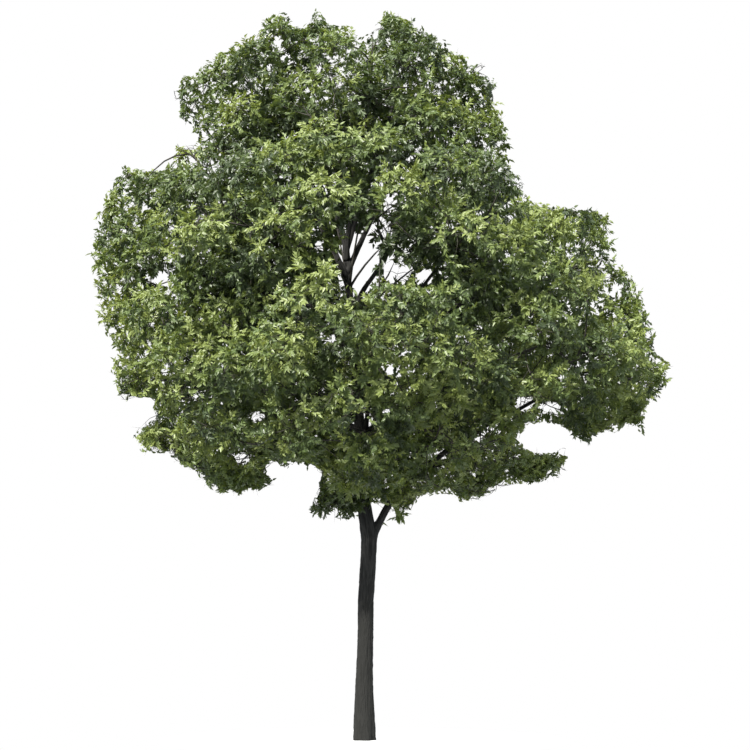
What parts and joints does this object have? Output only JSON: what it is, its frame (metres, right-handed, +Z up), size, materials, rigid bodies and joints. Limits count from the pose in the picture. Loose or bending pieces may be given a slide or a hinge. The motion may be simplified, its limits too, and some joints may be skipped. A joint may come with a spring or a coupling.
{
  "type": "hackberry tree",
  "caption": "Broad-crowned deciduous shade tree in full summer leaf: one straight clear trunk with a low root flare, ascending boughs and rounded masses of foliage, rooted in level ground.",
  "frame": {"origin": "centre of the flat cut under the trunk, at ground level", "axes": "+Z up along the trunk; -Y is the side that the picture was taken from, +X is the right of the picture"},
  "size_m": [9.4466, 8.2318, 12.0389],
  "materials": {
    "bark": "dark grey furrowed bark",
    "foliage": "mid green leaves, satin above and matt below"
  },
  "bodies": {
    "root": {"bough_dome_1": "bark", "bough_dome_2": "bark", "bough_dome_3": "bark", "bough_dome_4": "bark", "bough_lower_1": "bark", "bough_lower_2": "bark", "bough_lower_3": "bark", "bough_lower_4": "bark", "bough_lower_5": "bark", "bough_lower_6": "bark", "bough_lower_7": "bark", "bough_middle_1": "bark", "bough_middle_2": "bark", "bough_middle_3": "bark", "bough_middle_4": "bark", "bough_middle_5": "bark", "bough_middle_6": "bark", "bough_skirt_1": "bark", "bough_skirt_2": "bark", "bough_skirt_3": "bark", "bough_skirt_4": "bark", "bough_skirt_5": "bark", "bough_top_1": "bark", "bough_top_2": "bark", "bough_upper_1": "bark", "bough_upper_2": "bark", "bough_upper_3": "bark", "bough_upper_4": "bark", "bough_upper_5": "bark", "foliage_dome_1": "foliage", "foliage_dome_2": "foliage", "foliage_dome_3": "foliage", "foliage_dome_4": "foliage", "foliage_lower_1": "foliage", "foliage_lower_2": "foliage", "foliage_lower_3": "foliage", "foliage_lower_4": "foliage", "foliage_lower_5": "foliage", "foliage_lower_6": "foliage", "foliage_lower_7": "foliage", "foliage_middle_1": "foliage", "foliage_middle_2": "foliage", "foliage_middle_3": "foliage", "foliage_middle_4": "foliage", "foliage_middle_5": "foliage", "foliage_middle_6": "foliage", "foliage_skirt_1": "foliage", "foliage_skirt_2": "foliage", "foliage_skirt_3": "foliage", "foliage_skirt_4": "foliage", "foliage_skirt_5": "foliage", "foliage_top_1": "foliage", "foliage_top_2": "foliage", "foliage_upper_1": "foliage", "foliage_upper_2": "foliage", "foliage_upper_3": "foliage", "foliage_upper_4": "foliage", "foliage_upper_5": "foliage", "trunk": "bark"}
  },
  "joints": []
}
